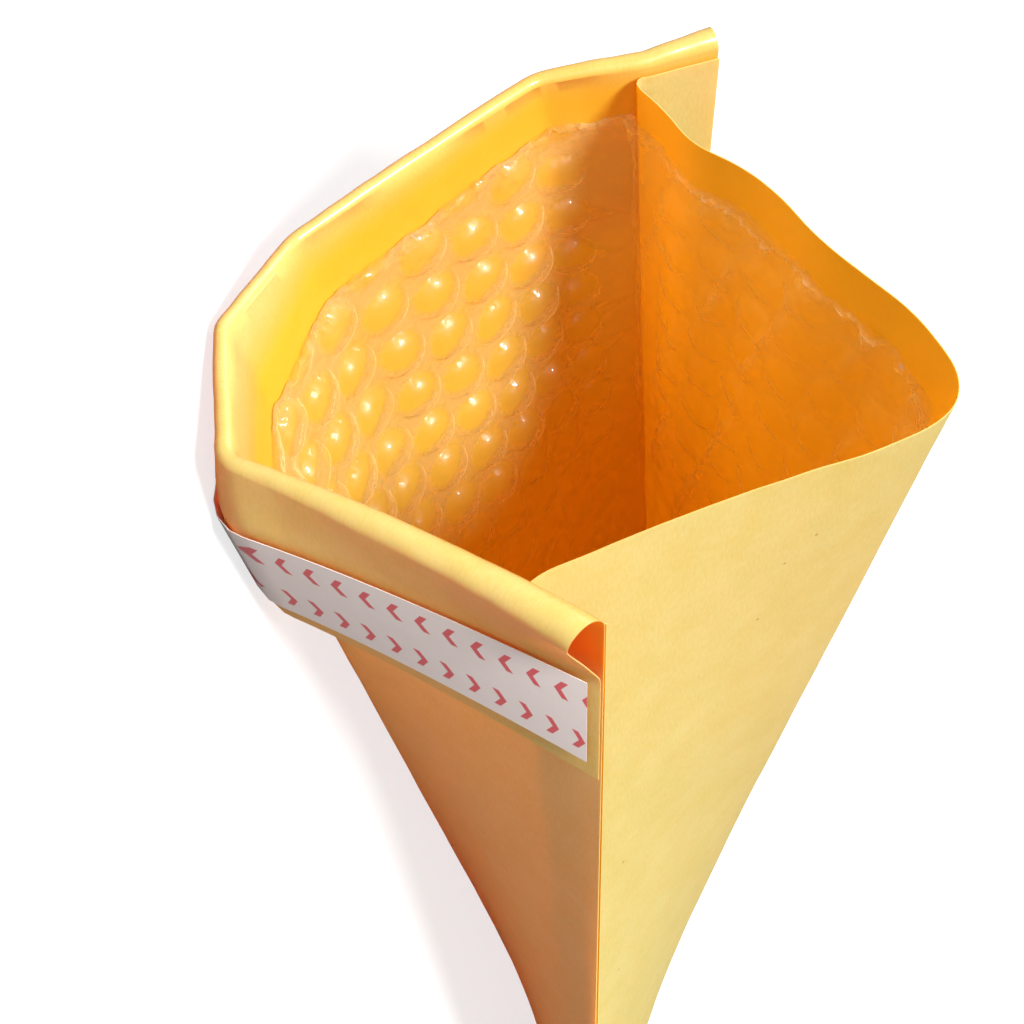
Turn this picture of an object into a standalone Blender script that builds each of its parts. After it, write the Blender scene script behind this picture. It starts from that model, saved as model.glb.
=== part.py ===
"""Padded mailer of kraft paper and bubble film, its mouth squeezed open, lying on its back.

The envelope is one folded sheet. A place on it is given by s, the distance across from the
near cut edge, and v, the distance up from the bottom fold. The shape is first worked out
with the bottom fold along Y and the mouth up, and is then laid down on its back panel.
"""
import math

import bpy
import mathutils
import numpy as np

# Envelope, in millimetres
WIDTH = 150.0
DEPTH = 230.0
FLAP_DEPTH = 40.0
SEAM = 10.5
PAPER = 0.25
PLY_GAP = 0.3

# Mouth outline seen from above: heading in degrees of each straight run of the back
# panel's edge, with its length, from the near cut edge to the far one
NEAR_CORNER = (4.7, -43.1)
BACK_RUNS = ((48.7, 159.3), (17.9, 99.5), (17.7, 76.0), (40.5, 46.6), (14.7, 16.0),
             (10.5, 27.6))
BACK_BEND = 1.6

# The same for the front panel: distance past the near seam and heading there
FRONT_BENDS = ((4.0, 27.3), (12.0, 30.6), (24.0, 29.0), (36.0, 29.4), (44.0, 26.9),
               (50.0, 34.8), (54.0, 36.9), (58.0, 54.6), (62.0, 84.7), (67.0, 121.0),
               (73.0, 130.6), (80.0, 145.1), (88.0, 138.9), (96.0, 129.2),
               (103.0, 140.8), (110.0, 155.2), (117.0, 124.3), (126.0, 139.9))
SEAM_HEADINGS = (51.8, 10.1)
SEAM_BEND = 0.9

# Rolled flap, at the near end, the five corners and the far end: height of the fold
# above the mouth, roll radius, length of the leaning part and its lean in degrees
FOLD_RISE = (0.2, 6.6, 8.8, 3.5, 0.6, 1.1, 1.4)
ROLL_RADIUS = (2.6, 1.15, 0.95, 0.95, 1.05, 1.35, 1.7)
LEAN_LENGTH = (8.8, 9.0, 8.0, 8.0, 8.0, 8.0, 8.0)
LEAN_ANGLE = (26.0, -17.0, 1.0, 2.0, 2.0, 5.5, 8.0)
UNLEAN_RADIUS = 3.0

# Bubble film lining
FILM = 0.4
FILM_CLEARANCE = 0.5
LINING_DROP = 8.0
LINING_INSET = 8.0
LINING_FOOT = 40.0
BUBBLE_PITCH = 9.8
BUBBLE_DIAMETER = 8.7
BUBBLE_CROWN = 5.2
BUBBLE_HEIGHT = 3.4
BUBBLE_ROWS = 9

# Adhesive band and the liner that covers it
ADHESIVE_RISE = 22.5
ADHESIVE_WIDTH = 11.0
ADHESIVE = 0.15
LINER_MARGIN = 2.8
LINER = 0.12
STRIP_END = 1.5
CLEARANCE = 0.3

# Fineness of the sheets
COLUMN_PITCH = 9.0
PANEL_STEPS = 7

PLY_PITCH = PAPER + PLY_GAP
STACK = PAPER / 2 + CLEARANCE + ADHESIVE + CLEARANCE + LINER
FINE = np.linspace(0.0, WIDTH, 1501)


def corners():
    """Distances across at which the back panel's mouth edge turns."""
    return np.cumsum([run for run, _ in BACK_RUNS])[:-1]


def walk(start, headings):
    """Plan curve from its start and its heading at each fine step."""
    angle = np.radians(headings)
    middle = (angle[1:] + angle[:-1]) / 2
    steps = np.diff(FINE)[:, None] * np.stack([np.cos(middle), np.sin(middle)], 1)
    return np.vstack([start, start + np.cumsum(steps, axis=0)])


def back_plan():
    headings = np.full_like(FINE, BACK_RUNS[0][1])
    for corner, (_, before), (_, after) in zip(corners(), BACK_RUNS, BACK_RUNS[1:]):
        t = np.clip((FINE - corner + BACK_BEND) / (2 * BACK_BEND), 0, 1)
        headings += (after - before) * t * t * (3 - 2 * t)
    return walk(np.array(NEAR_CORNER), headings)


def inward(heading):
    angle = math.radians(heading)
    return np.array([math.sin(angle), -math.cos(angle)])


def front_plan(back):
    near, far = BACK_RUNS[0][1], BACK_RUNS[-1][1]
    places = [0.0, SEAM - SEAM_BEND, SEAM + SEAM_BEND]
    values = [near, near, SEAM_HEADINGS[0]]
    for past, heading in FRONT_BENDS:
        places.append(SEAM + past)
        values.append(heading)
    places += [WIDTH - SEAM - SEAM_BEND, WIDTH - SEAM + SEAM_BEND, WIDTH]
    values += [SEAM_HEADINGS[1], far, far]
    plan = walk(back[0] + inward(near) * PLY_PITCH, np.interp(FINE, places, values))
    miss = back[-1] + inward(far) * PLY_PITCH - plan[-1]
    t = np.clip((FINE - SEAM) / (WIDTH - 2 * SEAM), 0, 1)[:, None]
    return plan + miss * t


BACK = back_plan()
FRONT = front_plan(BACK)


def panel(plan, side, s, v):
    """Point of a panel: side is -1 for the back and +1 for the front."""
    foot = np.array([side * PLY_PITCH / 2, s - WIDTH / 2, 0.0])
    x, y = np.interp(s, FINE, plan[:, 0]), np.interp(s, FINE, plan[:, 1])
    rise = math.sqrt(DEPTH ** 2 - (x - foot[0]) ** 2 - (y - foot[1]) ** 2)
    return foot + (np.array([x, y, rise]) - foot) * (v / DEPTH)


def back_point(s, v):
    return panel(BACK, -1, s, v)


def front_point(s, v):
    return panel(FRONT, 1, s, v)


def at_width(values, s):
    places = np.concatenate([[0.0], corners(), [WIDTH]])
    return float(np.interp(s, places, values))


def fold_height(s):
    return DEPTH + at_width(FOLD_RISE, s)


def roll_length(s):
    turn = math.pi + math.radians(at_width(LEAN_ANGLE, s))
    return at_width(ROLL_RADIUS, s) * turn


def flap_profile(s, q):
    """Height and stand-off of the flap at the distance q past the fold line."""
    radius = at_width(ROLL_RADIUS, s)
    lean = math.radians(at_width(LEAN_ANGLE, s))
    turn = math.pi + lean
    angle = min(q / radius, turn)
    height, out = radius * math.sin(angle), radius * (1 - math.cos(angle))
    q -= radius * turn
    if q <= 0:
        return height, out
    slope = min(q, at_width(LEAN_LENGTH, s))
    height -= slope * math.cos(lean)
    out -= slope * math.sin(lean)
    q -= slope
    bend = min(q / UNLEAN_RADIUS, abs(lean))
    sign = math.copysign(1.0, lean)
    height -= UNLEAN_RADIUS * (math.sin(abs(lean)) - math.sin(abs(lean) - bend))
    out -= sign * UNLEAN_RADIUS * (math.cos(abs(lean) - bend) - math.cos(lean))
    q -= bend * UNLEAN_RADIUS
    return height - q, out


def hanging(s, q):
    base = back_point(s, fold_height(s))
    up = back_point(s, fold_height(s) + 1.0) - base
    up /= np.linalg.norm(up)
    step = min(0.5, s / 2 + 0.01, (WIDTH - s) / 2 + 0.01)
    low, high = max(s - step, 0.0), min(s + step, WIDTH)
    along = back_point(high, DEPTH) - back_point(low, DEPTH)
    outward = np.cross(up, along)
    outward /= np.linalg.norm(outward)
    height, out = flap_profile(s, q)
    return base + up * height + outward * out


def rest_tilt():
    """Angle that lays the liner and the bottom fold on one plane."""
    s = corners()[1]
    place = hanging(s, roll_length(s) + at_width(LEAN_LENGTH, s) + 2.0)
    lift = STACK - (PLY_PITCH + PAPER) / 2
    reach = math.hypot(place[0], place[2])
    return math.asin(lift / reach) - math.atan2(place[0], place[2])


TILT = rest_tilt()
UP = np.array([math.cos(TILT), 0.0, math.sin(TILT)])
ALONG = np.array([-math.sin(TILT), 0.0, math.cos(TILT)])
PRESSED = STACK - (PLY_PITCH + PAPER) / 2


def flap_point(s, q):
    """Flap, pressed flat where it would pass the plane that it lies on."""
    place = hanging(s, q)
    return place + UP * max(0.0, PRESSED - place @ UP)


def sheet_point(s, row):
    """Envelope's mid surface. A row is a panel's name and the place along it."""
    part, t = row
    if part == 'flap':
        return flap_point(s, t * (DEPTH + FLAP_DEPTH - fold_height(s)))
    if part == 'lean':
        return flap_point(s, roll_length(s) + t * at_width(LEAN_LENGTH, s))
    if part == 'roll':
        return flap_point(s, t * roll_length(s))
    if part == 'fold':
        return back_point(s, fold_height(s))
    if part == 'back':
        return back_point(s, t)
    if part == 'bottom':
        angle = math.pi * t
        radius = PLY_PITCH / 2
        return np.array([-radius * math.cos(angle), s - WIDTH / 2, -radius * math.sin(angle)])
    return front_point(s, t)


def grid_normals(points):
    across = np.gradient(points, axis=0)
    along = np.gradient(points, axis=1)
    normals = np.cross(across, along)
    return normals / np.linalg.norm(normals, axis=2)[:, :, None]


def thick_grid(points, near, far, mirrored_from=None):
    """Closed sheet between two distances from a grid of points, along its normals.

    Every cell is split along the same diagonal of the flat sheet, so that plies that lie
    side by side follow one another. Rows from mirrored_from on run the other way.
    """
    normals = grid_normals(points)
    columns, rows = points.shape[:2]
    verts = np.concatenate([(points + normals * near).reshape(-1, 3),
                            (points + normals * far).reshape(-1, 3)])
    other = columns * rows
    faces = []
    for i in range(columns - 1):
        for j in range(rows - 1):
            a, b = i * rows + j, (i + 1) * rows + j
            c, d = a + 1, b + 1
            if mirrored_from is not None and j >= mirrored_from:
                halves = ((a, c, b), (b, c, d))
            else:
                halves = ((a, c, d), (a, d, b))
            for p, q, r in halves:
                faces.append((p, q, r))
                faces.append((other + p, other + r, other + q))
    rim = [i * rows for i in range(columns)]
    rim += [(columns - 1) * rows + j for j in range(1, rows)]
    rim += [i * rows + rows - 1 for i in range(columns - 2, -1, -1)]
    rim += list(range(rows - 2, 0, -1))
    for a, b in zip(rim, rim[1:] + rim[:1]):
        faces.append((a, b, other + b, other + a))
    return verts, faces


def sheet_columns():
    """Column places across the sheet, closer together where either panel bends."""
    side = SEAM + LINING_INSET
    fixed = [0.0, side, WIDTH - side, WIDTH]
    for corner in corners():
        fixed += [corner + BACK_BEND * k for k in (-1.0, -0.4, 0.4, 1.0)]
    for seam in (SEAM, WIDTH - SEAM):
        fixed += [seam + SEAM_BEND * k for k in (-1.2, -0.4, 0.4, 1.2)]
    places = list(fixed)
    bends = [SEAM + past for past, _ in FRONT_BENDS[4:11]]
    places += bends + [(a + b) / 2 for a, b in zip(bends[1:], bends[2:])]
    for place in np.linspace(0.0, WIDTH, int(WIDTH / COLUMN_PITCH) + 2):
        if min(abs(place - other) for other in places) > COLUMN_PITCH * 0.45:
            places.append(place)
    kept = []
    for place in sorted(places):
        crowded = kept and place - kept[-1] < 0.5
        if crowded and place in fixed[:4]:
            kept[-1] = place
        elif not crowded:
            kept.append(place)
    return kept


def columns_between(low, high):
    inner = [s for s in COLUMNS if low + 0.5 < s < high - 0.5]
    return [low] + inner + [high]


def panel_rows():
    """Heights up a panel, shared by the envelope and its lining."""
    return [0.0] + list(np.linspace(LINING_FOOT, DEPTH - LINING_DROP, PANEL_STEPS + 1))


def envelope_rows():
    rows = [('flap', t) for t in (1.0, 0.82, 0.66)]
    rows += [('lean', t) for t in (1.0, 0.5)]
    rows += [('roll', t) for t in (1.0, 0.84, 0.68, 0.52, 0.36, 0.18)]
    rows += [('fold', 1.0)] + [('back', v) for v in reversed(panel_rows())]
    rows += [('bottom', t) for t in (0.3, 0.5, 0.7)]
    rows += [('front', v) for v in panel_rows() + [DEPTH]]
    return rows


def make_envelope():
    rows = envelope_rows()
    points = np.array([[sheet_point(s, row) for row in rows] for s in COLUMNS])
    first_bottom = rows.index(('bottom', 0.3))
    return thick_grid(points, -PAPER / 2, PAPER / 2, first_bottom)


def flap_strip(low, high, inset, near, far):
    """Band on the flap's outward face, between two heights above the mouth."""
    columns = columns_between(inset, WIDTH - inset)
    heights = np.linspace(high, low, 4)
    points = np.array([[flap_point(s, DEPTH + h - fold_height(s)) for h in heights]
                       for s in columns])
    return thick_grid(points, near, far)


def make_adhesive():
    near = PAPER / 2 + CLEARANCE
    return flap_strip(ADHESIVE_RISE, ADHESIVE_RISE + ADHESIVE_WIDTH, STRIP_END + LINER_MARGIN,
                      -near - ADHESIVE, -near)


def make_liner():
    near = PAPER / 2 + CLEARANCE + ADHESIVE + CLEARANCE
    return flap_strip(ADHESIVE_RISE - LINER_MARGIN, ADHESIVE_RISE + ADHESIVE_WIDTH + LINER_MARGIN,
                      STRIP_END, -near - LINER, -near)


COLUMNS = sheet_columns()
LINING_RUN = DEPTH - LINING_DROP - LINING_FOOT
LINING_TURN = 8.0


def film_point(s, w):
    """Lining's mid surface: w is 0 at the middle of its bottom fold, negative behind."""
    foot_b, foot_f = back_point(s, LINING_FOOT), front_point(s, LINING_FOOT)
    gap = foot_f - foot_b
    inset = (PAPER / 2 + FILM_CLEARANCE + FILM / 2) / np.linalg.norm(gap)
    if abs(w) >= LINING_TURN / 2:
        v = LINING_FOOT + abs(w) - LINING_TURN / 2
        wall, step = (back_point, -1) if w < 0 else (front_point, 1)
        place = wall(s, v)
        along = wall(s + 0.4, v) - wall(s - 0.4, v)
        up = wall(s, v + 1) - wall(s, v)
        normal = np.cross(along, up) * -step
        return place + normal / np.linalg.norm(normal) * inset * np.linalg.norm(gap)
    start, end = film_point(s, -LINING_TURN / 2), film_point(s, LINING_TURN / 2)
    angle = math.pi * (w / LINING_TURN + 0.5)
    depth = min(np.linalg.norm(end - start) / 2, 3.0)
    middle = (start + end) / 2
    return middle + (start - middle) * math.cos(angle) - np.array([0, 0, depth]) * math.sin(angle)


def film_normal(s, w):
    """Normal of the lining, towards the pocket."""
    step = 0.2
    across = film_point(s + step, w) - film_point(s - step, w)
    along = film_point(s, w + step) - film_point(s, w - step)
    normal = np.cross(along, across)
    return normal / np.linalg.norm(normal)


def bend_at(plan, s):
    """Angle through which a panel turns across one bubble."""
    ends = [s - BUBBLE_PITCH / 2, s + BUBBLE_PITCH / 2]
    steps = [np.array([np.interp(e + k, FINE, plan[:, i]) for i in (0, 1)])
             for e in ends for k in (-0.5, 0.5)]
    before, after = steps[1] - steps[0], steps[3] - steps[2]
    cosine = before @ after / (np.linalg.norm(before) * np.linalg.norm(after))
    return math.acos(min(1.0, cosine))


def bubble_room(plan, s, v):
    """Dome height that leaves the walls apart, and its neighbours round a bend."""
    apart = np.linalg.norm(front_point(s, v) - back_point(s, v))
    taken = PAPER + 2 * FILM_CLEARANCE + 2 * FILM
    lean = math.tan(max(bend_at(plan, s), 0.01) / 2)
    beside = (BUBBLE_PITCH * math.sqrt(3) / 2 - BUBBLE_CROWN) / 2 / lean
    return max(0.3, min(BUBBLE_HEIGHT, (apart - taken) * 0.4, beside * 0.8))


def bubble_places():
    """Centres on a triangular lattice whose columns run along the mailer."""
    spacing = BUBBLE_PITCH * math.sqrt(3) / 2
    half = WIDTH / 2 - SEAM - LINING_INSET - BUBBLE_DIAMETER / 2 - 0.4
    reach = int(half / spacing)
    top = DEPTH - LINING_DROP - BUBBLE_DIAMETER / 2 - 0.4
    places = []
    for column in range(-reach, reach + 1):
        first = top - (BUBBLE_PITCH / 2 if column % 2 == 0 else 0.0)
        for row in range(BUBBLE_ROWS):
            v = first - row * BUBBLE_PITCH
            if v > LINING_FOOT + BUBBLE_DIAMETER:
                places.append((WIDTH / 2 + column * spacing, v))
    return places


def ring(centre, radius):
    return [(centre[0] + radius * math.cos(k * math.pi / 3),
             centre[1] + radius * math.sin(k * math.pi / 3)) for k in range(6)]


def rim_places(columns, lengths):
    """Edge of the flat film, once round: across, then along, then back."""
    rim = [(s, lengths[0]) for s in columns]
    rim += [(columns[-1], w) for w in lengths[1:]]
    rim += [(s, lengths[-1]) for s in reversed(columns[:-1])]
    rim += [(columns[0], w) for w in reversed(lengths[1:-1])]
    return rim


def triangulate(places, loops):
    """Triangles between places on the flat film, leaning as the envelope's cells do."""
    vectors = [mathutils.Vector((s + 0.0002 * abs(w), w)) for s, w in places]
    edges = [(a, b) for loop in loops for a, b in zip(loop, loop[1:] + loop[:1])]
    points, _, faces, _, _, _ = mathutils.geometry.delaunay_2d_cdt(vectors, edges, [], 1, 1e-5)
    assert len(points) == len(places)
    return [tuple(face) for face in faces]


def turned(faces, places, sign):
    kept = []
    for a, b, c in faces:
        (x0, y0), (x1, y1), (x2, y2) = places[a], places[b], places[c]
        area = (x1 - x0) * (y2 - y0) - (x2 - x0) * (y1 - y0)
        if abs(area) > 1e-6:
            kept.append((a, b, c) if area * sign > 0 else (c, b, a))
    return kept


def make_lining():
    side = SEAM + LINING_INSET
    columns = columns_between(side, WIDTH - side)
    half = [v - LINING_FOOT + LINING_TURN / 2 for v in panel_rows()[1:]]
    turn = [LINING_TURN * k for k in (-0.3, -0.15, 0.0, 0.15, 0.3)]
    lengths = [-w for w in reversed(half)] + turn + half
    rim = rim_places(columns, lengths)
    flat = list(rim)
    flat += [(s, w) for s in columns[1:-1] for w in lengths[1:-1]]
    domed = list(rim)
    offsets = [film_normal(s, w) * FILM / 2 for s, w in rim]
    loops = [list(range(len(rim)))]
    lowest = min(v for _, v in bubble_places()) - LINING_FOOT + LINING_TURN / 2
    edge = lowest - 0.75 * BUBBLE_DIAMETER
    plain = [w for w in lengths[1:-1] if abs(w) < edge - 4.0] + [-edge, edge]
    for s in columns[1:-1]:
        for w in plain:
            domed.append((s, w))
            offsets.append(film_normal(s, w) * FILM / 2)
    for half_sign, plan in ((-1, BACK), (1, FRONT)):
        for s, v in bubble_places():
            w = half_sign * (v - LINING_FOOT + LINING_TURN / 2)
            foot = ring((s, w), BUBBLE_DIAMETER / 2)
            crown = ring((s, w), BUBBLE_CROWN / 2)
            rise = film_normal(s, w) * (FILM / 2 + bubble_room(plan, s, v))
            for places in (foot, crown):
                loops.append(list(range(len(domed), len(domed) + 6)))
                domed += places
            offsets += [film_normal(*place) * FILM / 2 for place in foot] + [rise] * 6
    inner = turned(triangulate(domed, loops), domed, -1)
    outer = turned(triangulate(flat, [list(range(len(rim)))]), flat, 1)
    verts, faces = [], []
    for (s, w), offset in zip(domed, offsets):
        verts.append(film_point(s, w) + offset)
    base = len(verts)
    for s, w in flat:
        verts.append(film_point(s, w) - film_normal(s, w) * FILM / 2)
    faces += inner
    faces += [tuple(base + i for i in face) for face in outer]
    ends = list(range(len(rim)))
    for a, b in zip(ends, ends[1:] + ends[:1]):
        faces.append((a, b, base + b, base + a))
    return np.array(verts), faces


def laid_down(verts):
    """Near side to +X, mouth to -Y, and the back panel down."""
    return np.stack([-verts[:, 1], -(verts @ ALONG), verts @ UP], 1)


def paint(name, colour, roughness):
    material = bpy.data.materials.new(name)
    material.use_nodes = True
    shader = material.node_tree.nodes['Principled BSDF']
    shader.inputs['Base Color'].default_value = (*colour, 1.0)
    shader.inputs['Roughness'].default_value = roughness
    shader.inputs['Metallic'].default_value = 0.0
    return material


def add_piece(name, verts, faces, material):
    mesh = bpy.data.meshes.new(name)
    mesh.from_pydata([tuple(v / 1000.0) for v in verts], [], faces)
    mesh.materials.append(material)
    mesh.update()
    piece = bpy.data.objects.new(name, mesh)
    bpy.context.scene.collection.objects.link(piece)
    mesh.shade_smooth()
    mesh.set_sharp_from_angle(angle=math.radians(35))
    return piece


def main():
    for old in list(bpy.data.objects):
        bpy.data.objects.remove(old)
    kraft = paint('yellow_kraft', (0.93, 0.60, 0.13), 0.6)
    film = paint('bubble_film', (0.93, 0.58, 0.15), 0.2)
    glue = paint('hot_melt', (0.85, 0.80, 0.62), 0.35)
    release = paint('release_paper', (0.88, 0.80, 0.78), 0.4)
    shapes = [('kraft_envelope', make_envelope(), kraft), ('bubble_lining', make_lining(), film),
              ('adhesive_strip', make_adhesive(), glue), ('release_liner', make_liner(), release)]
    laid = [(name, laid_down(verts), faces, paper) for name, (verts, faces), paper in shapes]
    every = np.concatenate([verts for _, verts, _, _ in laid])
    low, high = every.min(axis=0), every.max(axis=0)
    origin = np.array([(low[0] + high[0]) / 2, (low[1] + high[1]) / 2, low[2]])
    for name, verts, faces, paper in laid:
        add_piece(name, verts - origin, faces, paper)


main()
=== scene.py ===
"""Looks of the padded mailer: yellow kraft paper, clear bubble film and a release liner.

Every sheet is worked out from its flat pattern, where s is the distance across from the near
cut edge and v the distance up from the bottom fold, both in millimetres. The shape is first
found with the mouth up, and then laid down on its back panel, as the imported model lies.
"""
import math

import bpy
import mathutils
import numpy as np
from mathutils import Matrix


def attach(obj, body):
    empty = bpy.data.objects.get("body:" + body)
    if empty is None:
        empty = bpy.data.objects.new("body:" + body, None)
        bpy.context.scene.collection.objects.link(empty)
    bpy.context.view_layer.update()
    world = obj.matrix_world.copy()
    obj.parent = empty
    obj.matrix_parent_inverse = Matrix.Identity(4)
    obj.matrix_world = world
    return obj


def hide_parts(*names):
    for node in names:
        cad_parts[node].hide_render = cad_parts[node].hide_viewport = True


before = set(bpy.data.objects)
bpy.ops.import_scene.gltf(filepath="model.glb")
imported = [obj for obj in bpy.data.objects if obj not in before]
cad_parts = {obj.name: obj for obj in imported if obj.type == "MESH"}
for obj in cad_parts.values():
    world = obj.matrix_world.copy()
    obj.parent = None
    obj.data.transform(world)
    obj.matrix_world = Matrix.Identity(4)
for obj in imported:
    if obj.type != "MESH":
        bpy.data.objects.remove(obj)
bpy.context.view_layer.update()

# Envelope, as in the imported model, in millimetres
WIDTH = 150.0
DEPTH = 230.0
FLAP_DEPTH = 40.0
SEAM = 10.5
PLY_PITCH = 0.55
NEAR_CORNER = (4.7, -43.1)
# Straight runs of the back panel's mouth: length and heading in degrees
BACK_RUNS = ((48.7, 159.3), (17.9, 99.5), (17.7, 76.0), (40.5, 46.6), (14.7, 16.0),
             (10.5, 27.6))
BACK_BEND = 1.6
# Front panel's mouth: distance past the near seam and heading in degrees
FRONT_BENDS = ((4.0, 27.3), (12.0, 30.6), (24.0, 29.0), (36.0, 29.4), (44.0, 26.9),
               (50.0, 34.8), (54.0, 36.9), (58.0, 54.6), (62.0, 84.7), (67.0, 121.0),
               (73.0, 130.6), (80.0, 145.1), (88.0, 138.9), (96.0, 129.2),
               (103.0, 140.8), (110.0, 155.2), (117.0, 124.3), (126.0, 139.9))
SEAM_HEADINGS = (51.8, 10.1)
SEAM_BEND = 0.5
# Rolled flap at the near edge, at each corner of the back panel and at the far edge
FOLD_RISE = (0.2, 6.6, 8.8, 3.5, 0.6, 1.1, 1.4)
ROLL_RADIUS = (2.6, 1.15, 0.95, 0.95, 1.05, 1.35, 1.7)
LEAN_LENGTH = (8.8, 9.0, 8.0, 8.0, 8.0, 8.0, 8.0)
LEAN_ANGLE = (26.0, -17.0, 1.0, 2.0, 2.0, 5.5, 8.0)
UNLEAN_RADIUS = 3.0
TILT = math.radians(11.572)
LAID_ORIGIN = np.array([0.0, -119.762, -0.400])
PRESSED = 0.445
SKEW = 2.4
SKEW_REACH = 9.0

# Layers of the mailer, in millimetres
PAPER = 0.16
FILM = 0.16
FILM_OFF = 0.32
LINING_DROP = 8.0
LINING_INSET = 2.0
LINING_FOOT = 14.0
LINING_TURN = 6.0
FILM_LOW, FILM_HIGH = SEAM + LINING_INSET, WIDTH - SEAM - LINING_INSET
FILM_TOP = DEPTH - LINING_DROP
FILM_REACH = LINING_TURN / 2 - LINING_FOOT
FILM_FOLD = 1.6
BUBBLE_PITCH = 9.8
COLUMN_PITCH = BUBBLE_PITCH * math.sqrt(3) / 2
BUBBLE_RADIUS = 4.2
BUBBLE_HEIGHT = 2.7
WINDOW_RADIUS = 3.75
FOOT_RINGS = (3.0, 3.6, 4.2)
ROW_TOPS = (212.4, 217.3)
WEB_REACH = COLUMN_PITCH * 2 / 3
WEB_ANGLES = (0, 60, 120, 180, 240, 300)
RIM_STEP = 0.5
NEAR_DOUBLE = 0.25
# Bubbles above this height show, and have more points
SHOWN_ABOVE = 120.0
ADHESIVE_RISE = 22.5
ADHESIVE_WIDTH = 11.0
ADHESIVE_OFF = 0.45
ADHESIVE = 0.12
LINER_MARGIN = 2.8
LINER_OFF = 0.74
LINER = 0.08
STRIP_END = 1.5

FINE = np.linspace(0.0, WIDTH, 1501)
UP = np.array([math.cos(TILT), 0.0, math.sin(TILT)])
ALONG = np.array([-math.sin(TILT), 0.0, math.cos(TILT)])


# ---------------------------------------------------------------- shape of the sheets

def unit(vectors):
    """Vectors of length 1."""
    return vectors / np.linalg.norm(vectors, axis=-1, keepdims=True)


def ease(value, low, high):
    """0 below low, 1 above high, smooth between."""
    t = np.clip((value - low) / (high - low), 0, 1)
    return t * t * (3 - 2 * t)


def corners():
    """Places of the back panel's corners along its mouth."""
    return np.cumsum([run for run, _ in BACK_RUNS])[:-1]


def walk(start, headings):
    """Plan of a mouth from its near end and its heading at each fine step."""
    angle = np.radians(headings)
    middle = (angle[1:] + angle[:-1]) / 2
    steps = np.diff(FINE)[:, None] * np.stack([np.cos(middle), np.sin(middle)], 1)
    return np.vstack([start, start + np.cumsum(steps, axis=0)])


def back_plan():
    """Plan of the back panel's mouth: straight runs with small bends between them."""
    headings = np.full_like(FINE, BACK_RUNS[0][1])
    for corner, (_, before), (_, after) in zip(corners(), BACK_RUNS, BACK_RUNS[1:]):
        t = np.clip((FINE - corner + BACK_BEND) / (2 * BACK_BEND), 0, 1)
        headings += (after - before) * t * t * (3 - 2 * t)
    return walk(np.array(NEAR_CORNER), headings)


def inward(heading):
    """Direction from the back panel towards the front one, square to a heading."""
    angle = math.radians(heading)
    return np.array([math.sin(angle), -math.cos(angle)])


def smoothed(values, width):
    """Running mean over a width in millimetres, with the ends held."""
    half = int(width * 10 / 2)
    padded = np.pad(values, half, mode='edge')
    total = np.cumsum(np.insert(padded, 0, 0.0))
    return (total[2 * half + 1:] - total[:-2 * half - 1]) / (2 * half + 1)


def front_plan(back):
    """Plan of the front panel's mouth, bowed out between the two pressed seams."""
    near, far = BACK_RUNS[0][1], BACK_RUNS[-1][1]
    places = [0.0, SEAM - SEAM_BEND, SEAM + SEAM_BEND]
    values = [near, near, SEAM_HEADINGS[0]]
    for past, heading in FRONT_BENDS:
        places.append(SEAM + past)
        values.append(heading)
    places += [WIDTH - SEAM - SEAM_BEND, WIDTH - SEAM + SEAM_BEND, WIDTH]
    values += [SEAM_HEADINGS[1], far, far]
    headings = np.interp(FINE, places, values)
    inner = (FINE > SEAM + 3) & (FINE < WIDTH - SEAM - 3)
    headings = np.where(inner, smoothed(headings, 3.0), headings)
    plan = walk(back[0] + inward(near) * PLY_PITCH, headings)
    miss = back[-1] + inward(far) * PLY_PITCH - plan[-1]
    t = np.clip((FINE - SEAM) / (WIDTH - 2 * SEAM), 0, 1)[:, None]
    return plan + miss * t


BACK = back_plan()
FRONT = front_plan(BACK)


def wall(side, s, v):
    """Mid surface of a panel: side is -1 for the back and +1 for the front."""
    s, v = np.broadcast_arrays(np.asarray(s, float), np.asarray(v, float))
    plan = BACK if side < 0 else FRONT
    foot = np.stack([np.full_like(s, side * PLY_PITCH / 2), s - WIDTH / 2, 0 * s], -1)
    x, y = np.interp(s, FINE, plan[:, 0]), np.interp(s, FINE, plan[:, 1])
    rise = np.sqrt(DEPTH ** 2 - (x - foot[..., 0]) ** 2 - (y - foot[..., 1]) ** 2)
    return foot + (np.stack([x, y, rise], -1) - foot) * (v / DEPTH)[..., None]


def at_width(values, s):
    """Value at s of a list given at the edges and corners of the back panel."""
    places = np.concatenate([[0.0], corners(), [WIDTH]])
    return np.interp(s, places, values)


def fold_height(s):
    """Height of the rolled fold's line over the bottom fold."""
    return DEPTH + at_width(FOLD_RISE, s)


def roll_length(s):
    """Length of paper in the roll itself."""
    return at_width(ROLL_RADIUS, s) * (math.pi + np.radians(at_width(LEAN_ANGLE, s)))


def flap_profile(s, q):
    """Height and stand-off of the flap at the distance q past the fold line."""
    radius = at_width(ROLL_RADIUS, s)
    lean = np.radians(at_width(LEAN_ANGLE, s))
    turn = math.pi + lean
    angle = np.minimum(q / radius, turn)
    height, out = radius * np.sin(angle), radius * (1 - np.cos(angle))
    left = np.maximum(q - radius * turn, 0)
    slope = np.minimum(left, at_width(LEAN_LENGTH, s))
    height, out = height - slope * np.cos(lean), out - slope * np.sin(lean)
    left = left - slope
    bend = np.minimum(left / UNLEAN_RADIUS, np.abs(lean))
    height -= UNLEAN_RADIUS * (np.sin(np.abs(lean)) - np.sin(np.abs(lean) - bend))
    out -= np.sign(lean) * UNLEAN_RADIUS * (np.cos(np.abs(lean) - bend) - np.cos(lean))
    return height - (left - bend * UNLEAN_RADIUS), out


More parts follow.
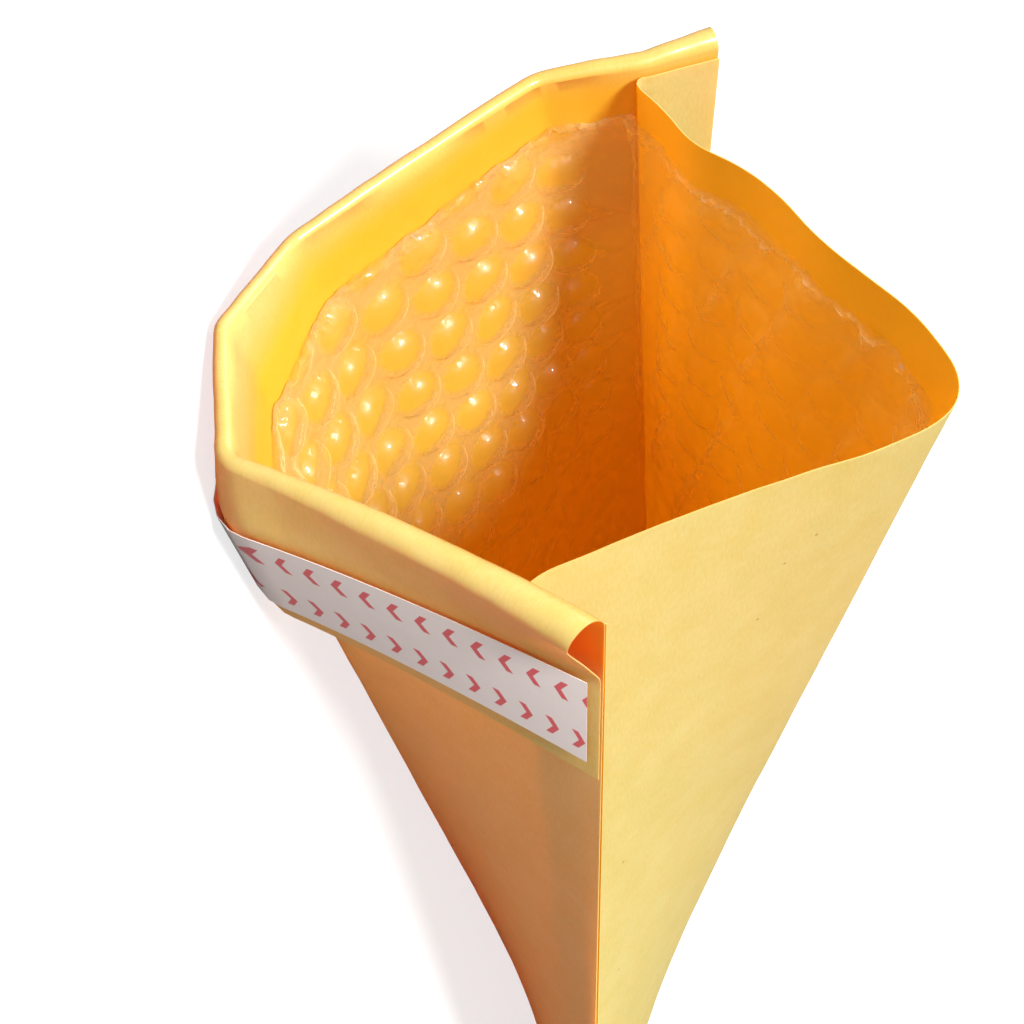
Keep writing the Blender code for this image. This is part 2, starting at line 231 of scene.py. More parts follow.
def flap(s, q):
    """Flap, pressed flat where it would pass the plane that it lies on."""
    s, q = np.broadcast_arrays(np.asarray(s, float), np.asarray(q, float))
    base = wall(-1, s, fold_height(s))
    up = unit(wall(-1, s, fold_height(s) + 1.0) - base)
    step = np.minimum(0.5, np.minimum(s / 2 + 0.01, (WIDTH - s) / 2 + 0.01))
    along = (wall(-1, np.minimum(s + step, WIDTH), DEPTH)
             - wall(-1, np.maximum(s - step, 0.0), DEPTH))
    outward = unit(np.cross(up, along))
    height, out = flap_profile(s, q)
    place = base + up * height[..., None] + outward * out[..., None]
    crest = ROLL_RADIUS[0] * (math.pi + math.radians(LEAN_ANGLE[0]))
    skew = SKEW * ease(q, 0, crest) * (1 - ease(q, crest, crest + LEAN_LENGTH[0]))
    place = place + unit(along) * (skew * np.exp(-s / SKEW_REACH))[..., None]
    return place + UP * np.maximum(0.0, PRESSED - place @ UP)[..., None]


def laid_down(points):
    """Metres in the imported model's frame: mouth to -Y, back panel down."""
    row = np.stack([-points[..., 1], -(points @ ALONG), points @ UP], -1)
    return (row - LAID_ORIGIN) / 1000.0


# ---------------------------------------------------------------- relief of the sheets

def lattice_noise(x, y, size, seed):
    """Smooth noise from -1 to 1 on a seeded grid of the given cell size."""
    values = np.random.default_rng(seed).uniform(-1, 1, (64, 64))
    x, y = np.asarray(x, float) / size, np.asarray(y, float) / size
    i, j = np.floor(x).astype(int), np.floor(y).astype(int)
    u, w = x - i, y - j
    u, w = u * u * u * (u * (6 * u - 15) + 10), w * w * w * (w * (6 * w - 15) + 10)
    low = values[i % 64, j % 64] * (1 - u) + values[(i + 1) % 64, j % 64] * u
    high = values[i % 64, (j + 1) % 64] * (1 - u) + values[(i + 1) % 64, (j + 1) % 64] * u
    return low * (1 - w) + high * w


def panel_relief(side, s, v):
    """Soft buckles of a panel, nothing at the seams and the bottom fold."""
    seed = 10 if side < 0 else 20
    waves = 0.16 * lattice_noise(s, v * 0.45, 13.0, seed)
    waves += 0.05 * lattice_noise(s, v * 0.7, 4.5, seed + 1)
    free = ease(s, SEAM, SEAM + 10) * ease(WIDTH - s, SEAM, SEAM + 10) * ease(v, 20, 60)
    return waves * free


def flap_relief(s, q):
    """Small kinks along the roll, fading out under the liner."""
    kinks = 0.10 * lattice_noise(s, q * 0.8, 6.0, 31) + 0.05 * lattice_noise(s, q, 2.6, 32)
    return kinks * ease(q, 0.0, 2.0) * (1 - ease(q, 12, 17))


# ---------------------------------------------------------------- meshes

def new_piece(name, points, faces, material, smooth_angle=40, **layers):
    """Object from laid-down points and faces, with named point attributes."""
    mesh = bpy.data.meshes.new(name)
    mesh.from_pydata(laid_down(points).tolist(), [], faces)
    for layer, values in layers.items():
        values = np.asarray(values, np.float32)
        kind = 'FLOAT_VECTOR' if values.ndim == 2 else 'FLOAT'
        field = 'vector' if values.ndim == 2 else 'value'
        mesh.attributes.new(layer, kind, 'POINT').data.foreach_set(field, values.ravel())
    mesh.materials.append(material)
    mesh.update()
    piece = bpy.data.objects.new(name, mesh)
    bpy.context.scene.collection.objects.link(piece)
    mesh.shade_smooth()
    mesh.set_sharp_from_angle(angle=math.radians(smooth_angle))
    return piece


def grid_normals(points):
    """Normals of a grid of points, columns by rows."""
    return unit(np.cross(np.gradient(points, axis=0), np.gradient(points, axis=1)))


def closed_grid(points, near, far):
    """Closed sheet between two distances from a grid, along the grid's normals."""
    normals = grid_normals(points)
    columns, rows = points.shape[:2]
    verts = np.concatenate([(points + normals * near).reshape(-1, 3),
                            (points + normals * far).reshape(-1, 3)])
    other = columns * rows
    cell = (np.arange(columns - 1)[:, None] * rows + np.arange(rows - 1)).ravel()
    first = np.stack([cell, cell + 1, cell + rows + 1, cell + rows], 1)
    second = other + first[:, ::-1]
    rim = np.concatenate([np.arange(columns) * rows,
                          (columns - 1) * rows + np.arange(1, rows),
                          np.arange(columns - 2, -1, -1) * rows + rows - 1,
                          np.arange(rows - 2, 0, -1)])
    after = np.roll(rim, -1)
    edge = np.stack([rim, after, other + after, other + rim], 1)
    return verts, np.concatenate([first, second, edge]).tolist()


def flat_layer(s, v, sides):
    """Flat place of each point of a closed grid, in centimetres, and its side."""
    return np.concatenate([np.stack([s.ravel() / 10, v.ravel() / 10, np.full(s.size, side)], 1)
                           for side in sides])


def flap_rows(columns):
    """Distances past the fold line, from the flap's cut edge back to the fold."""
    fold, roll = fold_height(columns), roll_length(columns)
    lean, end = at_width(LEAN_LENGTH, columns), DEPTH + FLAP_DEPTH - fold
    rows = [end + (roll + lean - end) * t for t in np.linspace(0, 1, 15)[:-1]]
    rows += [roll + lean * (1 - t) for t in np.linspace(0, 1, 9)[:-1]]
    rows += [roll * (1 - t) for t in np.linspace(0, 1, 21)[:-1]]
    return np.array(rows).T


def bottom_turn(columns):
    """Half round of the bottom fold, from the back panel to the front one."""
    turn = math.pi * np.linspace(0, 1, 9)[1:-1]
    radius = PLY_PITCH / 2
    across = np.broadcast_to((columns - WIDTH / 2)[:, None], (len(columns), len(turn)))
    return np.stack([np.broadcast_to(-radius * np.cos(turn), across.shape), across,
                     np.broadcast_to(-radius * np.sin(turn), across.shape)], -1)


def make_envelope(material):
    """One sheet: the flap's cut edge, the back panel, the bottom fold and the front panel."""
    columns = np.linspace(0.0, WIDTH, 201)
    fold, q = fold_height(columns), flap_rows(columns)
    s_flap = np.broadcast_to(columns[:, None], q.shape)
    heights = np.concatenate([np.linspace(0, 120, 31), np.linspace(120, DEPTH, 46)[1:]])
    v_back = heights[None, ::-1] * (fold / DEPTH)[:, None]
    s_wall = np.broadcast_to(columns[:, None], v_back.shape)
    v_front = np.broadcast_to(heights[None, :], s_wall.shape)
    bottom = bottom_turn(columns)
    points = np.concatenate([flap(s_flap, q), wall(-1, s_wall, v_back), bottom,
                             wall(1, s_wall, v_front)], axis=1)
    relief = np.concatenate([flap_relief(s_flap, q), panel_relief(-1, s_wall, v_back),
                             np.zeros(bottom.shape[:2]), panel_relief(1, s_wall, v_front)], 1)
    points = points + grid_normals(points) * relief[..., None]
    s = np.broadcast_to(columns[:, None], relief.shape)
    v = np.concatenate([fold[:, None] + q, v_back, np.zeros(bottom.shape[:2]), -v_front], 1)
    verts, faces = closed_grid(points, -PAPER / 2, PAPER / 2)
    return new_piece('kraft_paper', verts, faces, material,
                     flat=flat_layer(s, v, (-1, 1)))


def flap_band(name, low, high, inset, near, thickness, material):
    """Band on the flap's outward face, between two heights above the mouth."""
    columns = np.linspace(inset, WIDTH - inset, 190)[:, None]
    heights = np.linspace(high, low, 18)[None, :]
    q = DEPTH + heights - fold_height(columns)
    s = np.broadcast_to(columns, q.shape)
    verts, faces = closed_grid(flap(s, q), -near - thickness, -near)
    v = np.broadcast_to(heights, q.shape)
    return new_piece(name, verts, faces, material, flat=flat_layer(s, v, (1, -1)))


# ---------------------------------------------------------------- bubble film

def lined(side, s, v):
    """Middle of the film over one panel."""
    place = wall(side, s, v)
    normal = unit(np.cross(wall(side, s + 0.4, v) - wall(side, s - 0.4, v),
                           wall(side, s, v + 1) - place)) * -side
    stand = PAPER / 2 + FILM_OFF + FILM / 2 + panel_relief(side, s, v) * side
    return place + normal * stand[..., None]


def film_point(s, w):
    """Middle of the film at the length w from its bottom fold, negative behind."""
    s, w = np.broadcast_arrays(np.asarray(s, float), np.asarray(w, float))
    v = LINING_FOOT + np.maximum(np.abs(w) - LINING_TURN / 2, 0)
    back, front = lined(-1, s, v), lined(1, s, v)
    middle = (back + front) / 2
    angle = math.pi * (w / LINING_TURN + 0.5)
    turned = (middle + (back - middle) * np.cos(angle)[..., None]
              - np.array([0, 0, 1.0]) * (np.sin(angle) * 1.5)[..., None])
    panel = np.where((w < 0)[..., None], back, front)
    return np.where((np.abs(w) < LINING_TURN / 2)[..., None], turned, panel)


def film_normal(s, w):
    """Direction off the film into the pocket."""
    step = 0.15
    across = film_point(s + step, w) - film_point(s - step, w)
    along = film_point(s, w + step) - film_point(s, w - step)
    return unit(np.cross(along, across))


def bend_at(plan, s):
    """Angle through which a panel turns across one bubble."""
    ends = [s - BUBBLE_PITCH / 2, s + BUBBLE_PITCH / 2]
    steps = [np.array([np.interp(e + k, FINE, plan[:, i]) for i in (0, 1)])
             for e in ends for k in (-0.5, 0.5)]
    before, after = steps[1] - steps[0], steps[3] - steps[2]
    cosine = before @ after / (np.linalg.norm(before) * np.linalg.norm(after))
    return math.acos(min(1.0, cosine))


def bubble_room(plan, s, v):
    """Height that leaves the walls apart, and a bubble's neighbours round a bend."""
    apart = np.linalg.norm(wall(1, s, v) - wall(-1, s, v))
    lean = math.tan(max(bend_at(plan, s), 0.01) / 2)
    beside = (BUBBLE_PITCH * 0.866 - BUBBLE_RADIUS * 1.2) / 2 / lean
    return max(0.15, min(BUBBLE_HEIGHT, (apart - 1.6) * 0.38, beside * 0.8))


def bubble_places():
    """Centres on a triangular lattice whose columns run along the mailer."""
    half = WIDTH / 2 - SEAM - LINING_INSET - BUBBLE_RADIUS - 0.3
    reach = int(half / COLUMN_PITCH)
    places = []
    for column in range(-reach, reach + 1):
        for row in range(-1, 22):
            v = ROW_TOPS[column % 2] - row * BUBBLE_PITCH
            if LINING_FOOT + 12 < v < FILM_TOP + 2.5:
                places.append((WIDTH / 2 + column * COLUMN_PITCH, v))
    return places


def film_edge(side, s):
    """Ragged upper end of the film."""
    return (FILM_TOP + 0.6 * lattice_noise(s, 0 * s, 4.1, 40 + side)
            + 0.22 * lattice_noise(s, 0 * s, 1.1, 44 + side))


def edge_length(s, w):
    """Length from the film's bottom fold to its ragged end, on the side of w."""
    return np.where(w > 0, film_edge(1, s), film_edge(-1, s)) + FILM_REACH


def triangulate(places, loop):
    """Points and faces of a flat sheet inside a loop of its first places."""
    vectors = [mathutils.Vector((float(s), float(w))) for s, w in places]
    edges = list(zip(loop, loop[1:] + loop[:1]))
    points, _, faces, _, _, _ = mathutils.geometry.delaunay_2d_cdt(vectors, edges, [], 1, 1e-6)
    kept = []
    for face in faces:
        a, b, c = (points[i] for i in face)
        area = (b[0] - a[0]) * (c[1] - a[1]) - (c[0] - a[0]) * (b[1] - a[1])
        if abs(area) > 1e-5:
            kept.append(tuple(face) if area < 0 else tuple(face)[::-1])
    return np.array([tuple(p) for p in points]), kept


def film_rim():
    """Outline of the flat film, once round."""
    across = np.linspace(FILM_LOW, FILM_HIGH, int((FILM_HIGH - FILM_LOW) / RIM_STEP) + 1)
    top = film_edge(1, across) + FILM_REACH
    tail = -(film_edge(-1, across) + FILM_REACH)
    right = np.linspace(tail[-1], top[-1], int((top[-1] - tail[-1]) / 3))
    left = np.linspace(top[0], tail[0], int((top[0] - tail[0]) / 3))
    rim = list(zip(across, tail)) + [(FILM_HIGH, w) for w in right[1:-1]]
    rim += list(zip(across[::-1], top[::-1])) + [(FILM_LOW, w) for w in left[1:-1]]
    return rim


def inside_film(s, w, margin):
    """True where a flat place is on the film, with a margin to its edges."""
    return ((s > FILM_LOW + margin) & (s < FILM_HIGH - margin)
            & (np.abs(w) < edge_length(s, w) - margin))


def thinned(flat, rim, margin):
    """Places on the film and clear of its edge, without near doubles. The rim stays."""
    keep = inside_film(flat[:, 0], flat[:, 1], margin)
    keep[:rim] = True
    flat = flat[keep]
    cells = np.round(flat / NEAR_DOUBLE).astype(int)
    _, first = np.unique(cells, axis=0, return_index=True)
    chosen = np.zeros(len(flat), bool)
    chosen[first] = True
    chosen[:rim] = True
    return flat[chosen]


class Bubble:
    """One bubble of the film: where it is, and how full and how creased."""

    def __init__(self, side, s, v, rng):
        self.s, self.v = s, v
        self.w = side * (v - LINING_FOOT + LINING_TURN / 2)
        room = bubble_room(BACK if side < 0 else FRONT, s, v)
        self.height = room * (rng.uniform(0.7, 1.0) if side < 0 else rng.uniform(0.2, 0.45))
        cut = ease(FILM_TOP - v, 1.0, BUBBLE_RADIUS + 1.5)
        self.height *= (0.22 + 0.78 * cut) * (0.12 + 0.88 * float(ease(v, 125, 168)))
        self.slack = rng.uniform(0.15, 0.6) + 0.8 * (1 - cut)
        self.turn = rng.uniform(0, math.pi)
        self.shift = rng.uniform(-0.6, 0.6, 2)
        self.seed = int(rng.integers(1000))
        fine = v > SHOWN_ABOVE
        self.rings = (0.0, 0.25, 0.46, 0.64, 0.8, 0.91, 0.99) if fine else (0, 0.4, 0.75, 1)
        self.spokes = 20 if fine else 10

    def places(self):
        """Places on rings from the top of the dome to its foot."""
        result = []
        for k, share in enumerate(self.rings):
            count = 1 if share == 0 else self.spokes
            for n in range(count):
                angle = 2 * math.pi * (n + 0.5 * (k % 2)) / count
                radius = share * BUBBLE_RADIUS
                result.append((self.s + radius * math.cos(angle),
                               self.w + radius * math.sin(angle)))
        return result

    def web_place(self, angle):
        """Place in the bonded web, in the middle of this bubble and two beside it."""
        turn = math.radians(angle)
        return (self.s + WEB_REACH * math.cos(turn), self.w + WEB_REACH * math.sin(turn))

    def foot_places(self):
        """Places under the dome that carry the edge of its clear window."""
        count = 14 if self.v > SHOWN_ABOVE else 6
        return [(self.s + r * math.cos(2 * math.pi * (n + 0.5 * k) / count),
                 self.w + r * math.sin(2 * math.pi * (n + 0.5 * k) / count))
                for k, r in enumerate(FOOT_RINGS) for n in range(count)]

    def window(self, s, w):
        """1 on the clear spot under the dome, which is never quite round."""
        ds, dw = s - self.s, w - self.w
        angle = np.arctan2(dw, ds)
        uneven = 1 + 0.09 * np.sin(2 * angle + self.turn) + 0.05 * np.sin(3 * angle + self.seed)
        r = np.hypot(ds, dw) / uneven
        return 1 - ease(r, WINDOW_RADIUS - 0.45, WINDOW_RADIUS + 0.45)

    def rise(self, s, w):
        """Height of the dome over a flat place, with its creases."""
        ds, dw = s - self.s, w - self.w
        r = np.sqrt(ds * ds + dw * dw) / BUBBLE_RADIUS
        inside = np.clip(1 - np.minimum(r, 1) ** 2.6, 0, 1)
        body = inside ** 0.72
        u = (ds - self.shift[0]) * math.cos(self.turn) + (dw - self.shift[1]) * math.sin(self.turn)
        t = -(ds - self.shift[0]) * math.sin(self.turn) + (dw - self.shift[1]) * math.cos(self.turn)
        crease = np.exp(-(u / 0.8) ** 2) * (0.6 + 0.4 * np.cos(t * 1.3))
        ripple = lattice_noise(s, w, 2.1, self.seed)
        change = -self.slack * 0.55 * crease + self.slack * 0.35 * ripple
        return body * np.maximum(self.height + change * min(1.0, self.height), 0.08), inside


def film_folds(s, w):
    """Long soft folds of the film on the front panel."""
    along, across = s * 0.35 - w * 0.94, s * 0.94 + w * 0.35
    waves = 0.5 + 0.5 * lattice_noise(across + 0.12 * along, along * 0.10, 2.8, 71)
    return FILM_FOLD * waves * waves * ease(w, 60, 110)


def fold_places(step, stop):
    """Grid over the film's bottom fold."""
    return [(s, w) for w in np.arange(-24, 24.1, step) for s in np.arange(FILM_LOW + 2, stop, 4.0)]


def skin_places(bubbles):
    """Places of the film's face, inside its rim."""
    places = [place for bubble in bubbles for place in bubble.places()]
    places += [bubble.web_place(angle) for bubble in bubbles for angle in WEB_ANGLES]
    places += [(s, side * (FILM_TOP + FILM_REACH - depth)) for side in (-1, 1)
               for depth in (0.7, 1.4, 2.2, 3.1, 4.1)
               for s in np.arange(FILM_LOW + 0.5, FILM_HIGH, 0.8)]
    places += fold_places(1.5, FILM_HIGH)
    beyond = COLUMN_PITCH * 6 + BUBBLE_RADIUS
    for w in np.arange(-215, 215.1, 1.2):
        for past in (0.5, 1.5, 2.8, 4.2, 5.8):
            places += [(WIDTH / 2 - beyond - past, w), (WIDTH / 2 + beyond + past, w)]
    return places


def under_places(bubbles):
    """Places of the film's flat underside, inside its rim."""
    places = [place for bubble in bubbles for place in bubble.foot_places()]
    places += [bubble.web_place(angle) for angle in WEB_ANGLES for bubble in bubbles]
    return places + fold_places(3.0, FILM_HIGH - 1)


def domes(bubbles, s, w, normals):
    """Height of the domes over flat places, and the way in which each place rises."""
    rise, mask, lean = np.zeros(len(s)), np.zeros(len(s)), np.zeros((len(s), 3))
    for bubble in bubbles:
        near = np.nonzero((np.abs(s - bubble.s) < BUBBLE_RADIUS * 1.05)
                          & (np.abs(w - bubble.w) < BUBBLE_RADIUS * 1.05))[0]
        if not len(near):
            continue
        height, inside = bubble.rise(s[near], w[near])
        rise[near] = np.maximum(rise[near], height)
        mask[near] = np.maximum(mask[near], inside)
        centre = film_normal(np.array([bubble.s]), np.array([bubble.w]))[0]
        lean[near] += inside[:, None] * centre
    return rise, unit(np.where(mask[:, None] > 0.01, lean, normals))


def windows(bubbles, s, w):
    """1 on the clear spots under the domes."""
    clear = np.zeros(len(s))
    for bubble in bubbles:
        clear = np.maximum(clear, bubble.window(s, w))
    return clear


def make_film(material):
    """Closed sheet: a domed face into the pocket over a flat underside."""
    rng = np.random.default_rng(7)
    bubbles = [Bubble(side, s, v, rng) for side in (-1, 1) for s, v in bubble_places()]
    rim = film_rim()
    loop = list(range(len(rim)))
    skin = np.array(rim + skin_places(bubbles))
    domed, inner = triangulate(thinned(skin, len(rim), 0.35), loop)
    s, w = domed.T
    normals = film_normal(s, w)
    rise, way = domes(bubbles, s, w, normals)
    frill = np.exp(-np.maximum(edge_length(s, w) - np.abs(w), 0) / 1.8)
    rise += frill * (0.5 + 0.6 * lattice_noise(s, w, 0.8, 61))
    rise += 0.05 * lattice_noise(s, w, 2.2, 62) + 0.05 + film_folds(s, w)
    top = film_point(s, w) + normals * FILM / 2 + way * rise[:, None]

    under = list(map(tuple, domed[:len(rim)])) + under_places(bubbles)
    flat, outer = triangulate(thinned(np.array(under), len(rim), 0.6), loop)
    base = film_point(*flat.T) - film_normal(*flat.T) * FILM / 2
    shift = len(top)
    faces = list(inner) + [tuple(shift + i for i in face[::-1]) for face in outer]
    faces += [(a, b, shift + b, shift + a) for a, b in zip(loop, loop[1:] + loop[:1])]

    # Painted shade: the bonded haze is weaker on the front panel and fades deep in the pocket.
    faint = np.where(flat[:, 1] > 0, 0.35, 1.0) * (0.5 + 0.5 * ease(np.abs(flat[:, 1]), 120, 175))
    # Painted highlight: the front film's fold crests get milk and read lighter; the web layer
    # carries this with the bonded haze.
    crest_painted_sheen = np.where(w > 0, film_folds(s, w) / FILM_FOLD, 0.0)
    bonded = (1 - windows(bubbles, *flat.T)) * faint
    # upper fades the domed face's painted milk and its gloss deep in the pocket.
    upper = 0.15 + 0.85 * ease(np.abs(w), 115, 165)
    nothing = np.zeros(len(base))
    piece = new_piece('clear_film', np.concatenate([top, base]), faces, material, 60,
                      web=np.concatenate([crest_painted_sheen ** 2, bonded]),
                      top=np.concatenate([upper, nothing]),
                      edge=np.concatenate([frill, nothing]))
    piece.visible_diffuse = False
    piece.visible_transmission = False
    return piece


# ---------------------------------------------------------------- materials

class Wire:
    """A node's output. Arithmetic on it adds Math nodes."""

    def __init__(self, paint, socket):
        self.paint, self.socket = paint, socket

    def math(self, operation, *others):
        return self.paint.node('Math', {'operation': operation}, self, *others)

    def __add__(self, other):
        return self.math('ADD', other)

    def __sub__(self, other):
        return self.math('SUBTRACT', other)

    def __rsub__(self, other):
        return self.paint.node('Math', {'operation': 'SUBTRACT'}, other, self)

    def __mul__(self, other):
        return self.math('MULTIPLY', other)

    def __pow__(self, other):
        return self.math('POWER', other)

    def __abs__(self):
        return self.math('ABSOLUTE')

    __radd__ = __add__
    __rmul__ = __mul__

    def over(self, low, high):
        """0 below low, 1 above high, smooth between."""
        return self.paint.node('MapRange', {'interpolation_type': 'SMOOTHSTEP'}, self, low, high)


class Paint:
    """Node material with one method that adds any node."""

    def __init__(self, name):
        self.material = bpy.data.materials.new(name)
        self.material.use_nodes = True
        self.tree = self.material.node_tree
        self.tree.nodes.clear()
        self.output = self.tree.nodes.new('ShaderNodeOutputMaterial')

    def node(self, kind, settings, *values, out=0, at=None, **named):
        """Node with its settings, then its sockets in order, by number and by name."""
        node = self.tree.nodes.new('ShaderNode' + kind)
        for field, value in settings.items():
            setattr(node, field, value)
        for key, value in [*enumerate(values), *(at or {}).items(), *named.items()]:
            socket = node.inputs[key if isinstance(key, int) else key.replace('_', ' ')]
            if isinstance(value, Wire):
                self.tree.links.new(value.socket, socket)
            elif socket.type == 'RGBA':
                socket.default_value = (*value, 1.0)
            else:
                socket.default_value = value
        return Wire(self, node.outputs[out])

    def mix(self, share, low, high):
        """Colour between two colours."""
        return self.node('Mix', {'data_type': 'RGBA'}, share, out=2, at={6: low, 7: high})

    def noise(self, place, scale, detail, roughness):
        return self.node('TexNoise', {}, Vector=place, Scale=scale, Detail=detail,
                         Roughness=roughness)

    def stretched(self, place, x, y):
        return self.node('Mapping', {}, Vector=place, Scale=(x, y, 1.0))

    def layer(self, name, out='Fac'):
        """What a mesh carries under a name: a number, or a vector."""
        return self.node('Attribute', {'attribute_name': name}, out=out)

    def part(self, vector, axis):
        return self.node('SeparateXYZ', {}, vector, out=axis)

    def finish(self, shader):
        self.tree.links.new(shader.socket, self.output.inputs['Surface'])
        return self.material


def srgb(red, green, blue):
    """Linear colour of an sRGB one given from 0 to 255."""
    return tuple((c / 255 / 12.92) if c / 255 < 0.04045 else ((c / 255 + 0.055) / 1.055) ** 2.4
                 for c in (red, green, blue))


def kraft_colour(paint, flat, tone, outside, deep):
    """Paler outside and yellow inside, the inside's deeper orange being painted bounce light and
    deep in the pocket a painted brighter glow; the rolled flap painted pale as if lit, painted
    orange shade where the fold rolls in, with dark specks.
    """
    up, side = paint.part(flat, 'Y'), paint.part(flat, 'Z')
    shade = (tone + 0.5).over(0.2, 0.8)
    # Outer and inner colours: the inner one's deeper orange is painted bounce light of the pocket.
    outer = paint.mix(shade, srgb(219, 222, 126), srgb(233, 240, 160))
    # Deep in the pocket the inside colour turns brighter orange: painted glow of bounced light.
    inner = paint.mix(deep, paint.mix(shade, srgb(238, 199, 52), srgb(242, 208, 64)),
                      srgb(255, 213, 58))
    # The rolled flap above the fold takes the paler outer colour on both faces: painted light, as
    # if the sun lit the roll's top.
    pale = outside.math('MAXIMUM', up.over(22.6, 23.6) * 0.8)
    # Painted shade: orange inside the hollow where the fold rolls in.
    roll_hollow_painted_shade = outside * (up.over(21.6, 22.4) - up.over(25.0, 26.0))
    yellow = paint.mix(roll_hollow_painted_shade, paint.mix(pale, inner, outer), srgb(232, 140, 44))
    cut = 1 - (side * side).over(0.2, 0.9)
    edged = paint.mix(cut * 0.45, yellow, srgb(255, 236, 170))
    cell = paint.node('TexVoronoi', {'feature': 'F1'}, Vector=flat, Scale=0.9, out='Distance')
    speck = 1 - cell.over(0.016, 0.030)
    return paint.mix(speck * 0.7, edged, srgb(120, 75, 30))


def kraft_paper():
    """Smooth thin kraft with fine fibres and a sheen along the rolled fold."""
    paint = Paint('yellow_kraft_paper')
    flat = paint.layer('flat', 'Vector')
    up = paint.part(flat, 'Y')
    outside = paint.part(flat, 'Z').over(-0.3, 0.3)
    # deep is 1 low in the pocket, where the inside colour carries a painted bounce glow.
    deep = 1 - abs(up).over(13.0, 19.0)
    cloud = paint.noise(flat, 1.6, 4.0, 0.6)
    fibre = paint.noise(paint.stretched(flat, 26.0, 7.0), 1.0, 4.0, 0.65)
    grain = paint.noise(flat, 60.0, 2.0, 0.6)
    tone = (cloud - 0.5) * 0.5 + (fibre - 0.5) * 0.8 + (grain - 0.5) * 0.5
    relief = fibre * 0.5 + grain * 0.35 + cloud * 0.4
    bump = paint.node('Bump', {}, Strength=0.35, Distance=0.00016, Height=relief)
    sheen = (up.over(22.7, 23.0) - up.over(23.6, 24.0)) * 0.8
    body = paint.node('BsdfPrincipled', {}, Normal=bump, IOR=1.42,
                      Base_Color=kraft_colour(paint, flat, tone, outside, deep),
                      Roughness=(fibre - 0.5) * 0.10 + outside * 0.12 + 0.33,
                      Coat_Weight=sheen, Coat_Roughness=0.22)
    glow = paint.node('BsdfTranslucent', {}, Color=(1.0, 0.51, 0.03))
    within = paint.node('NewGeometry', {}, out='Backfacing')
    thin = 0.38 + outside * 0.05 - deep * (1 - outside) * 0.20
    return paint.finish(paint.node('MixShader', {}, thin + within * (1 - thin), body, glow))


def film_skin(paint, bump, crinkle, top, edge):
    """Clear skin: see-through, with a thin sharp gloss and a fainter wide one."""
    through = paint.node('BsdfTransparent', {}, Color=(1.0, 1.0, 1.0))
    gloss = paint.node('BsdfGlossy', {}, Color=(1.0, 1.0, 1.0), Roughness=0.05, Normal=bump)
    wide = paint.node('BsdfGlossy', {}, Color=(1.0, 1.0, 1.0), Roughness=0.38, Normal=bump)
    facing = paint.node('LayerWeight', {}, Blend=0.5, Normal=bump, out='Facing')
    sparks = crinkle.over(0.52, 0.60)
    share = facing ** 5.0 * top * 0.22 + sparks * (top * 0.03 + edge * 0.3) + 0.003
    skin = paint.node('MixShader', {}, share, paint.node('MixShader', {}, 0.03, through, wide),
                      gloss)
    return skin, facing


def clear_film():
    """Thin clear film, hazier where its two layers are bonded, bright at its edge, with painted
    light in its milk: pale arcs at the domes' grazing sides, pale dome tops, a paler tint up high
    and lighter fold crests.
    """
    paint = Paint('clear_bubble_film')
    web, top, edge = paint.layer('web'), paint.layer('top'), paint.layer('edge')
    place = paint.node('TexCoord', {}, out='Object')
    slanted = paint.node('Mapping', {}, Vector=place, Rotation=(0.5, 0.3, 0.9),
                         Scale=(260.0, 1100.0, 800.0))
    crinkle = paint.noise(slanted, 1.0, 3.0, 0.6)
    bump = paint.node('Bump', {}, Strength=0.35, Distance=0.0002, Height=crinkle)
    skin, facing = film_skin(paint, bump, crinkle, top, edge)
    # Milk tint, paler on the upper domed face: painted light.
    shade = paint.mix(top, srgb(244, 222, 150), srgb(255, 240, 180))
    milk = paint.node('MixShader', {}, 0.5, paint.node('BsdfDiffuse', {}, Color=shade),
                      paint.node('BsdfTranslucent', {}, Color=shade))
    # Milk share: the bonded web with the painted crest highlight, painted light arcs at the domes'
    # grazing sides and painted pale dome tops, and the ragged edge.
    haze = web * 0.44 + top * (facing.over(0.70, 0.92) * 0.5 + 0.06) + edge * 0.2
    return paint.finish(paint.node('MixShader', {}, haze, skin, milk))


def hot_melt():
    """Tacky cream band with ripples across it."""
    paint = Paint('hot_melt')
    flat = paint.layer('flat', 'Vector')
    ripple = paint.noise(paint.stretched(flat, 2.0, 14.0), 1.0, 3.0, 0.5)
    bump = paint.node('Bump', {}, Strength=0.3, Distance=0.0003, Height=ripple)
    colour = paint.mix(ripple, srgb(226, 208, 150), srgb(240, 226, 178))
    return paint.finish(paint.node('BsdfPrincipled', {}, Base_Color=colour, Roughness=0.25,
                                   Normal=bump))


def chevron_row(across, height, sign):
    """1 on a row of chevrons, which point the way of the sign."""
    shifted = across * sign + abs(height) * 0.6
    phase = (shifted * 2.6).math('FRACT')
    bar = phase.over(0.30, 0.34) - phase.over(0.55, 0.59)
    return bar * (1 - abs(height).over(0.165, 0.18))


def release_paper():
    """Pale coated liner with two rows of plain red chevrons, pointing opposite ways."""
    paint = Paint('release_paper')
    flat = paint.layer('flat', 'Vector')
    across, up = paint.part(flat, 'X'), paint.part(flat, 'Y')
    cloud = paint.noise(flat, 4.0, 3.0, 0.5)
    marks = chevron_row(across, up - 2.36, 1.0) + chevron_row(across, up - 3.24, -1.0)
    paper = paint.mix(cloud, srgb(250, 232, 226), srgb(255, 242, 238))
    colour = paint.mix(marks * 0.9, paper, srgb(232, 52, 66))
    body = paint.node('BsdfPrincipled', {}, Base_Color=colour, Roughness=0.32)
    glow = paint.node('BsdfTranslucent', {}, Color=srgb(240, 215, 200))
    return paint.finish(paint.node('MixShader', {}, 0.05, body, glow))


